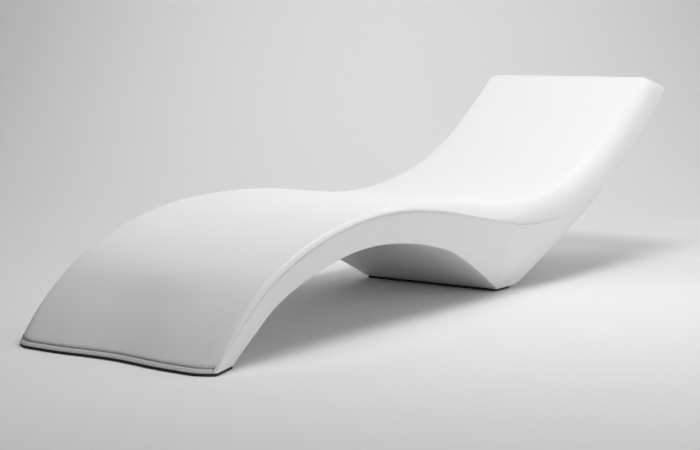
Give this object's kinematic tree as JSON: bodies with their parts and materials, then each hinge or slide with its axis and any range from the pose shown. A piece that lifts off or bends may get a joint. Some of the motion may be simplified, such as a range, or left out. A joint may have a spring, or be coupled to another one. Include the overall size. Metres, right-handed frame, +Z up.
{
  "type": "sun lounger",
  "caption": "Moulded one-piece wave sun lounger with a sloping foot end, arched knee, dished seat and raised back, on rubber-shod feet, with a screw-in ballast plug under the back.",
  "frame": {"origin": "centre of the bounding box's base, on the floor, half way along and half way across the lounger", "axes": "+X along the lounger from the foot end to the top of the back, +Z up, so the sitter faces -X and the sitter's left is -Y"},
  "size_m": [2.4709, 0.65, 0.6317],
  "materials": {
    "white_shell": "satin white rotationally moulded polyethylene, faint skin texture",
    "pale_strip": "smooth pale grey plastic",
    "black_rubber": "dull black moulded rubber",
    "insert_brass": "plain turned brass",
    "screw_steel": "plain stainless steel",
    "grey_fitting": "mid-grey moulded plastic"
  },
  "bodies": {
    "lounger": {"shell": "white_shell", "toe_strip": "pale_strip", "front_shoe": "black_rubber", "rear_shoe": "black_rubber", "front_insert_1": "insert_brass", "front_insert_2": "insert_brass", "front_insert_3": "insert_brass", "front_insert_4": "insert_brass", "rear_insert_1": "insert_brass", "rear_insert_2": "insert_brass", "rear_insert_3": "insert_brass", "rear_insert_4": "insert_brass", "front_washer_1": "screw_steel", "front_washer_2": "screw_steel", "front_washer_3": "screw_steel", "front_washer_4": "screw_steel", "rear_washer_1": "screw_steel", "rear_washer_2": "screw_steel", "rear_washer_3": "screw_steel", "rear_washer_4": "screw_steel", "front_screw_1": "screw_steel", "front_screw_2": "screw_steel", "front_screw_3": "screw_steel", "front_screw_4": "screw_steel", "rear_screw_1": "screw_steel", "rear_screw_2": "screw_steel", "rear_screw_3": "screw_steel", "rear_screw_4": "screw_steel", "filler_neck": "grey_fitting", "vent_plug": "grey_fitting"},
    "travelling_seal": {"plug_seal": "black_rubber"},
    "screw_plug": {"filler_plug": "grey_fitting"}
  },
  "joints": [
    {"name": "plug_travel", "type": "slide", "parent": "lounger", "child": "travelling_seal", "axis": [0.4359, 0, -0.9], "range_m": [0, 0.0151]},
    {"name": "plug_turn", "type": "hinge", "parent": "travelling_seal", "child": "screw_plug", "pos_m": [0.56972, 0, 0.13094], "axis": [0.4359, 0, -0.9], "range_deg": [0, 900]}
  ],
  "couplings": [
    {"joint": "plug_travel", "follows": "plug_turn", "m_per_rad": 0.00095493}
  ]
}
